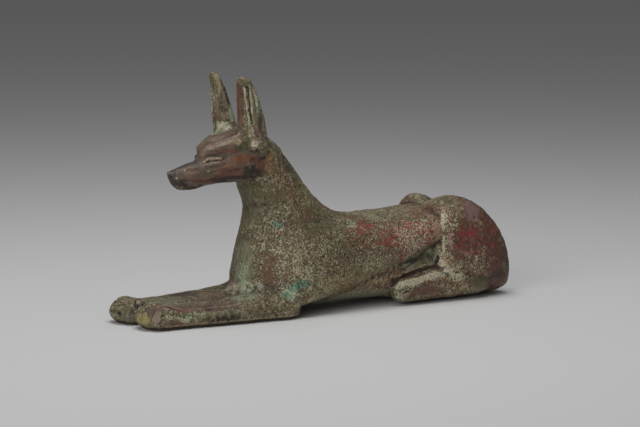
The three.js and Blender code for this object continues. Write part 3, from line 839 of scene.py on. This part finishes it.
def corrode(skin, depth):
    """Gives the skin its cast unevenness, its crusts and its pits, and hands back where it is worn smooth."""
    smooth = echoed(wobble(skin.places, size=5.0, reach=1.2), SMOOTH)
    rough = 1 - WORN * smooth
    skin.push(CAST_WAVES * wander(skin.places, size=7.0, octaves=2, seed=1))
    skin.push(depth * rough * wander(skin.places, size=1.7, octaves=4, seed=2))
    for size, deeper, seed in PITS:
        skin.push(-deeper * depth * rough * pitting(skin.places, size, seed))
    return smooth


def curvature(skin, rounds):
    """How far each point stands proud of its surroundings, in millimetres."""
    soft = skin.places
    for _ in range(rounds):
        soft = skin.average(soft)
    return np.einsum("ij,ij->i", skin.places - soft, skin.normals)


def spared(distance, crisp):
    """Share of the smoothing that is left at each distance."""
    return 1 - crisp["share"] * smoothstep(distance, crisp["from"], crisp["to"])


def soften(skin):
    """Smooths the facets, least on head and paws, and rounds and draws in the edge that meets the ground."""
    skin.relax(SKIN_ROUNDS, spared(skin.places[:, 2], CRISP_HEAD) * spared(-skin.places[:, 0], CRISP_PAWS))
    skin.relax(RIM_ROUNDS, smoothstep(RIM_HEIGHT - skin.places[:, 2], 0, 1), pulls=(PULL,))
    skin.settle()
    upright = 1 - smoothstep(np.abs(skin.normals[:, 2]), 0.7, 0.95)
    skin.push(-RIM_DEPTH * upright * smoothstep(RIM_HEIGHT / 2 - skin.places[:, 2], 0, RIM_HEIGHT / 2))
    skin.settle()


def carve(skin):
    """Cuts all strokes and dents."""
    for strokes in (BODY_STROKES, HEAD_STROKES, EAR_STROKES, fan(FAN_LINES)):
        engrave(skin, strokes)
        skin.settle()
    dent(skin, DENTS)
    skin.settle()


def lay_finishes(skin):
    """Keeps on the mesh where each finish lies."""
    on_head = smoothstep(skin.places[:, 2], HEAD_FROM, HEAD_FROM + HEAD_FADE)[:, None]
    head = wobble(skin.places, **HEAD_EDGES)
    body = wobble(skin.places, **BODY_EDGES)
    places = body + (head - body) * on_head
    for name, patches in PATCHES.items():
        store(skin.mesh, name, echoed(places, patches, STREAKS.get(name, ())))


def cast_jackal(settings):
    """The whole figure: a finer skin on the casting, its carving and its corrosion."""
    noise.seed_set(NOISE_SEED)
    piece = casting_copy("jackal_skin")
    bake_modifier(piece, "REMESH", mode="VOXEL", voxel_size=settings.grain)
    soften(Skin(piece.data))
    refine(piece, FINE_BOXES)
    skin = Skin(piece.data)
    carve(skin)
    smooth = corrode(skin, settings.corrosion / MM)
    skin.places[:, 2] = np.maximum(skin.places[:, 2], 0)
    skin.settle()

    store(skin.mesh, "crest", curvature(skin, rounds=4))
    store(skin.mesh, "fold", curvature(skin, rounds=24))
    store(skin.mesh, "smooth", smooth)
    lay_finishes(skin)
    share = settings.triangles / triangle_count(piece.data)
    if share < 1:
        bake_modifier(piece, "DECIMATE", ratio=share, use_collapse_triangulate=True)
    piece.data.shade_smooth()
    return piece


# Materials


class Recipe:
    """A material and short ways to add nodes to it. Inputs are numbers, colours or other nodes' outputs."""

    def __init__(self, name):
        self.material = bpy.data.materials.new(name)
        self.material.use_nodes = True
        self.tree = self.material.node_tree
        self.tree.nodes.clear()

    def add(self, kind, inputs, output=0, **settings):
        """Adds a node, fills its inputs and hands back one of its outputs."""
        node = self.tree.nodes.new(kind)
        for name, value in settings.items():
            setattr(node, name, value)
        for key, value in inputs.items():
            if isinstance(value, bpy.types.NodeSocket):
                self.tree.links.new(value, node.inputs[key])
            else:
                node.inputs[key].default_value = value
        return node.outputs[output]

    def maths(self, operation, first, second=0.0, third=0.0):
        """One sum on numbers."""
        return self.add("ShaderNodeMath", {0: first, 1: second, 2: third}, operation=operation)

    def step(self, value, low, high):
        """Soft step from 0 at low to 1 at high."""
        inputs = {"Value": value, "From Min": low, "From Max": high}
        return self.add("ShaderNodeMapRange", inputs, interpolation_type="SMOOTHSTEP")

    def mix(self, share, first, second):
        """From the first colour to the second one."""
        return self.add("ShaderNodeMix", {0: share, 6: first, 7: second}, output=2, data_type="RGBA")

    def layer(self, name):
        """Number that the skin keeps at each point."""
        return self.add("ShaderNodeAttribute", {}, output="Fac", attribute_name=name)

    def places(self):
        """Object coordinates in millimetres."""
        coordinates = self.add("ShaderNodeTexCoord", {}, output="Object")
        return self.add("ShaderNodeVectorMath", {0: coordinates, "Scale": 1 / MM}, operation="SCALE")

    def stretch(self, places, amounts):
        """Places multiplied along each axis."""
        return self.add("ShaderNodeVectorMath", {0: places, 1: amounts}, operation="MULTIPLY")

    def clouds(self, places, size, detail, shift=0.0, roughness=0.55):
        """Noise from 0 to 1 with patches of about that size."""
        moved = self.add("ShaderNodeVectorMath", {0: places, 1: (shift, -shift, 2 * shift)}, operation="ADD")
        inputs = {"Vector": moved, "Scale": 1 / size, "Detail": detail, "Roughness": roughness}
        return self.add("ShaderNodeTexNoise", inputs, output="Fac")

    def close(self, shader):
        """Puts the shader on the material's output."""
        end = self.tree.nodes.new("ShaderNodeOutputMaterial")
        self.tree.links.new(shader, end.inputs["Surface"])
        return self.material


def opaque(colour):
    """The colour with full alpha."""
    return (*colour, 1.0)


# Patterns of the bronze: size, detail, shift and roughness of their clouds
PATTERNS = {
    "grain": (0.42, 3, 3, 0.7),
    "flecks": (0.45, 3, 11, 0.7),
    "greens": (0.52, 3, 23, 0.7),
    "mottle": (2.2, 5, 31, 0.68),
    "clouds": (8, 3, 47, 0.55),
    "ragged": (1.3, 6, 59, 0.78),
    "bands": (0.9, 4, 83, 0.7),
    "streaks": (0.9, 4, 71, 0.7),
}
# Along an axis where the amount is under 1, the pattern is drawn out
STRETCHED = {"bands": (0.5, 1, 1.2), "streaks": (1, 1, 0.2)}

# Each finish, from the first to the last: how dark its deeper tone is, the pattern of its tones, the pattern
# that breaks up its border, how far that does so, how soft the border is, and how solid the finish is
GROUND = ("russet", 0.5, "mottle", "clouds", 0.9, 0.3, 1)
LAYERS = (
    ("olive", 0.5, "streaks", "ragged", 1.3, 0.16, 0.9),
    ("brown", 0.7, "mottle", "ragged", 0.8, 0.2, 1),
    ("moss", 0.6, "ragged", "ragged", 1, 0.3, 0.9),
    ("clay", 0.7, "ragged", "ragged", 0.8, 0.3, 0.9),
    ("maroon", 0.55, "ragged", "ragged", 1, 0.2, 0.92),
    ("mauve", 0.7, "ragged", "ragged", 1, 0.25, 0.9),
    ("rust", 0.5, "mottle", "ragged", 2.4, 0.3, 0.85),
    ("red", 0.5, "grain", "bands", 2, 0.05, 0.95),
    ("salmon", 0.7, "grain", "ragged", 0.8, 0.1, 0.9),
    ("slate", 0.7, "ragged", "ragged", 0.6, 0.3, 0.92),
    ("black", 0.6, "mottle", "ragged", 0.5, 0.38, 0.94),
    ("mint", 0.5, "grain", "greens", 2, 0.07, 0.9),
    ("ochre", 0.45, "grain", "flecks", 1.8, 0.1, 0.85),
    ("cream", 0.6, "grain", "flecks", 1.6, 0.08, 0.9),
    ("malachite", 0.4, "grain", "greens", 1.6, 0.08, 0.95),
)

# Where a pore or fleck starts and where it is full: how high its pattern is, for flecks over the threshold
PORES = (0.47, 0.42)
GREEN_FLECKS = (0.015, 0.075)
PALE_FLECKS = (0.04, 0.09)

# Where each darkening or paling starts and where it is full: how far the skin stands proud, or, for the
# painted contact shadow, how high it is over the ground
PITTED = (0, -0.05)
HOLLOW = (-0.03, -0.3)
RUBBED = (0.012, 0.06)
PAINTED_GROUND_SHADOW = (1.3, 0.4)


class Patina:
    """The bronze's colour, built up one finish over another."""

    def __init__(self, recipe, settings):
        self.recipe = recipe
        self.settings = settings
        self.places = recipe.places()
        self.patterns = {}
        for name, numbers in PATTERNS.items():
            places = recipe.stretch(self.places, STRETCHED.get(name, (1, 1, 1)))
            self.patterns[name] = recipe.clouds(places, *numbers)
        self.colour = self.tones("bark", 0.55, "mottle")

    def plain(self, finish):
        """The finish in one tone."""
        return opaque(getattr(self.settings, finish))

    def tones(self, finish, dark, pattern):
        """The finish as it varies from a darker tone to its own."""
        deep = tuple(channel * dark for channel in getattr(self.settings, finish))
        share = self.recipe.step(self.patterns[pattern], 0.38, 0.6)
        return self.recipe.mix(share, opaque(deep), self.plain(finish))

    def cover(self, share, colour, strength=1.0):
        """Lays another colour over a share of the patina."""
        share = self.recipe.maths("MULTIPLY", share, strength)
        self.colour = self.recipe.mix(share, self.colour, colour)

    def patch(self, finish, dark, toned_by, broken_by, spread, softness, strength):
        """Lays a finish where its patches are, with a border that a pattern breaks up."""
        broken = self.recipe.maths("MULTIPLY_ADD", self.patterns[broken_by], spread, -0.5 * spread)
        amount = self.recipe.maths("ADD", self.recipe.layer(finish), broken)
        share = self.recipe.step(amount, 0.5 - softness, 0.5 + softness)
        self.cover(share, self.tones(finish, dark, toned_by), strength)

    def speckle(self):
        """Lays dark pores, and green and pale flecks, which are thick where the threshold is low."""
        recipe = self.recipe
        threshold = recipe.maths("MULTIPLY_ADD", self.patterns["clouds"], 0.14, 0.3)
        threshold = recipe.maths("MULTIPLY_ADD", self.patterns["mottle"], 0.34, threshold)
        threshold = recipe.maths("MULTIPLY_ADD", recipe.layer("flecked"), -0.09, threshold)
        greens = recipe.maths("SUBTRACT", self.patterns["greens"], threshold)
        flecks = recipe.maths("SUBTRACT", self.patterns["flecks"], threshold)
        pores = recipe.maths("SUBTRACT", self.patterns["grain"], 0.125)
        pores = recipe.maths("MULTIPLY_ADD", self.patterns["ragged"], 0.25, pores)
        self.cover(recipe.step(pores, *PORES), self.plain("umber"))
        self.cover(recipe.step(greens, *GREEN_FLECKS), self.plain("sage"))
        self.cover(recipe.step(flecks, *PALE_FLECKS), self.tones("tan", 0.7, "greens"))

    def wear_and_ground_shadow(self, busy):
        """Darkens pits and hollows, paints the contact shadow in umber along the edge at the ground, and rubs
        crests pale where the skin is busy.
        """
        recipe = self.recipe
        crest = recipe.layer("crest")
        height = recipe.add("ShaderNodeSeparateXYZ", {"Vector": self.places}, output="Z")
        hollow = recipe.maths("MULTIPLY", recipe.step(recipe.layer("fold"), *HOLLOW), busy)
        rubbed = recipe.maths("MULTIPLY", recipe.step(crest, *RUBBED), busy)
        self.cover(recipe.step(crest, *PITTED), self.plain("umber"), 0.7)
        self.cover(hollow, self.plain("umber"), 0.3)
        self.cover(rubbed, self.plain("tan"), 0.35)
        # Painted shadow: umber low on the skin stands in for the contact shadow where the figure meets the
        # floor
        self.cover(recipe.step(height, *PAINTED_GROUND_SHADOW), self.plain("umber"), 0.9)


def bronze_patina(settings):
    """Old corroded bronze: a speckled brown skin with red, green, olive and pale patches over it."""
    recipe = Recipe("bronze_patina")
    smooth = recipe.layer("smooth")
    busy = recipe.maths("MULTIPLY_ADD", smooth, -WORN, 1.0)
    patina = Patina(recipe, settings)
    patina.patch(*GROUND)
    patina.speckle()
    for layer in LAYERS:
        patina.patch(*layer)
    patina.wear_and_ground_shadow(busy)

    roughness = recipe.maths("MULTIPLY_ADD", smooth, -0.2, 0.6)
    roughness = recipe.maths("MULTIPLY_ADD", patina.patterns["ragged"], 0.2, roughness)
    relief = recipe.maths("MULTIPLY", patina.patterns["grain"], busy)
    relief = recipe.maths("MULTIPLY_ADD", patina.patterns["flecks"], 0.5, relief)
    normal = recipe.add("ShaderNodeBump", {"Height": relief, "Strength": 0.9, "Distance": 0.2 * MM})
    inputs = {"Base Color": patina.colour, "Roughness": roughness, "Normal": normal, "Metallic": 0.1}
    return recipe.close(recipe.add("ShaderNodeBsdfPrincipled", inputs))


def floor_paper(settings):
    """Pale studio paper."""
    recipe = Recipe("floor_paper")
    tooth = recipe.clouds(recipe.places(), 1.5, 3.0)
    normal = recipe.add("ShaderNodeBump", {"Height": tooth, "Strength": 0.05, "Distance": 0.1 * MM})
    inputs = {"Base Color": opaque(settings.floor), "Roughness": 0.9, "Normal": normal}
    return recipe.close(recipe.add("ShaderNodeBsdfPrincipled", inputs))


# Studio, in metres and degrees

CAMERA = {"azimuth": -35.5, "elevation": 7.2, "distance": 0.846, "lens": 180.0}
TARGET = Vector((1.94, 0.0, 24.8)) * MM
SOFTBOX = {"size": 0.3, "forward": 0.03, "height": 0.42}
FILL = {"size": 0.5, "azimuth": CAMERA["azimuth"] - 25, "elevation": 18, "distance": 0.9}
FLOOR_RADIUS = 6.0


def direction(azimuth, elevation):
    """Unit vector from the figure to a place round it. Azimuth 0 is the near side, and 90 the tail's end."""
    turn = math.radians(azimuth)
    rise = math.radians(elevation)
    return Vector((math.sin(turn) * math.cos(rise), -math.cos(turn) * math.cos(rise), math.sin(rise)))


def aim(thing, place):
    """Puts the camera or light at the place and turns it to the figure."""
    thing.location = place
    thing.rotation_euler = (place - TARGET).to_track_quat("Z", "Y").to_euler()


def camera():
    """The photograph's view of the figure."""
    data = bpy.data.cameras.new("camera")
    data.lens = CAMERA["lens"]
    data.clip_start = 0.01
    data.clip_end = 50
    thing = link(bpy.data.objects.new("camera", data))
    aim(thing, TARGET + CAMERA["distance"] * direction(CAMERA["azimuth"], CAMERA["elevation"]))
    bpy.context.scene.camera = thing


def area_light(name, power, size, place):
    """A square softbox that looks at the figure."""
    data = bpy.data.lights.new(name, "AREA")
    data.energy = power
    data.size = size
    aim(link(bpy.data.objects.new(name, data)), place)


def floor(settings):
    """A wide pale floor."""
    shape = bmesh.new()
    bmesh.ops.create_circle(shape, cap_ends=True, radius=FLOOR_RADIUS, segments=64)
    mesh = bpy.data.meshes.new("floor")
    shape.to_mesh(mesh)
    shape.free()
    piece = link(bpy.data.objects.new("floor", mesh))
    mesh.materials.append(floor_paper(settings))


def world(strength):
    """Even grey light from all round."""
    room = bpy.data.worlds.new("room")
    room.use_nodes = True
    background = room.node_tree.nodes["Background"]
    background.inputs["Color"].default_value = (1.0, 1.0, 1.0, 1.0)
    background.inputs["Strength"].default_value = strength
    bpy.context.scene.world = room


class JACKAL_OT_cast(bpy.types.Operator):
    """Makes the figure's fine skin and its patina"""

    bl_idname = "jackal.cast"
    bl_label = "Cast the jackal"

    def execute(self, context):
        settings = context.scene.jackal_bronze
        piece = cast_jackal(settings)
        piece.data.materials.clear()
        piece.data.materials.append(bronze_patina(settings))
        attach(piece, "root")
        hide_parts("jackal")
        return {"FINISHED"}


class JACKAL_OT_studio(bpy.types.Operator):
    """Sets up the floor, the lights and the camera"""

    bl_idname = "jackal.studio"
    bl_label = "Set up the studio"

    def execute(self, context):
        settings = context.scene.jackal_studio
        floor(settings)
        world(settings.room)
        over = direction(CAMERA["azimuth"], 0) * SOFTBOX["forward"] + Vector((0, 0, SOFTBOX["height"]))
        beside = direction(FILL["azimuth"], FILL["elevation"]) * FILL["distance"]
        area_light("softbox", settings.softbox, SOFTBOX["size"], over)
        area_light("fill", settings.fill, FILL["size"], beside)
        camera()
        context.scene.view_settings.view_transform = "Standard"
        return {"FINISHED"}


class JACKAL_PT_panel(bpy.types.Panel):
    """The figure's settings and what makes it"""

    bl_idname = "JACKAL_PT_panel"
    bl_label = "Bronze jackal"
    bl_space_type = "VIEW_3D"
    bl_region_type = "UI"
    bl_category = "Jackal"

    def draw(self, context):
        for settings in (context.scene.jackal_bronze, context.scene.jackal_studio):
            for name in settings.__annotations__:
                self.layout.prop(settings, name)
        for operator in (JACKAL_OT_cast, JACKAL_OT_studio):
            self.layout.operator(operator.bl_idname)


CLASSES = (BronzeSettings, StudioSettings, JACKAL_OT_cast, JACKAL_OT_studio, JACKAL_PT_panel)


def register():
    for each in CLASSES:
        bpy.utils.register_class(each)
    bpy.types.Scene.jackal_bronze = bpy.props.PointerProperty(type=BronzeSettings)
    bpy.types.Scene.jackal_studio = bpy.props.PointerProperty(type=StudioSettings)


def unregister():
    del bpy.types.Scene.jackal_studio
    del bpy.types.Scene.jackal_bronze
    for each in reversed(CLASSES):
        bpy.utils.unregister_class(each)


def main():
    register()
    bpy.ops.jackal.cast()
    bpy.ops.jackal.studio()


if __name__ == "__main__":
    main()
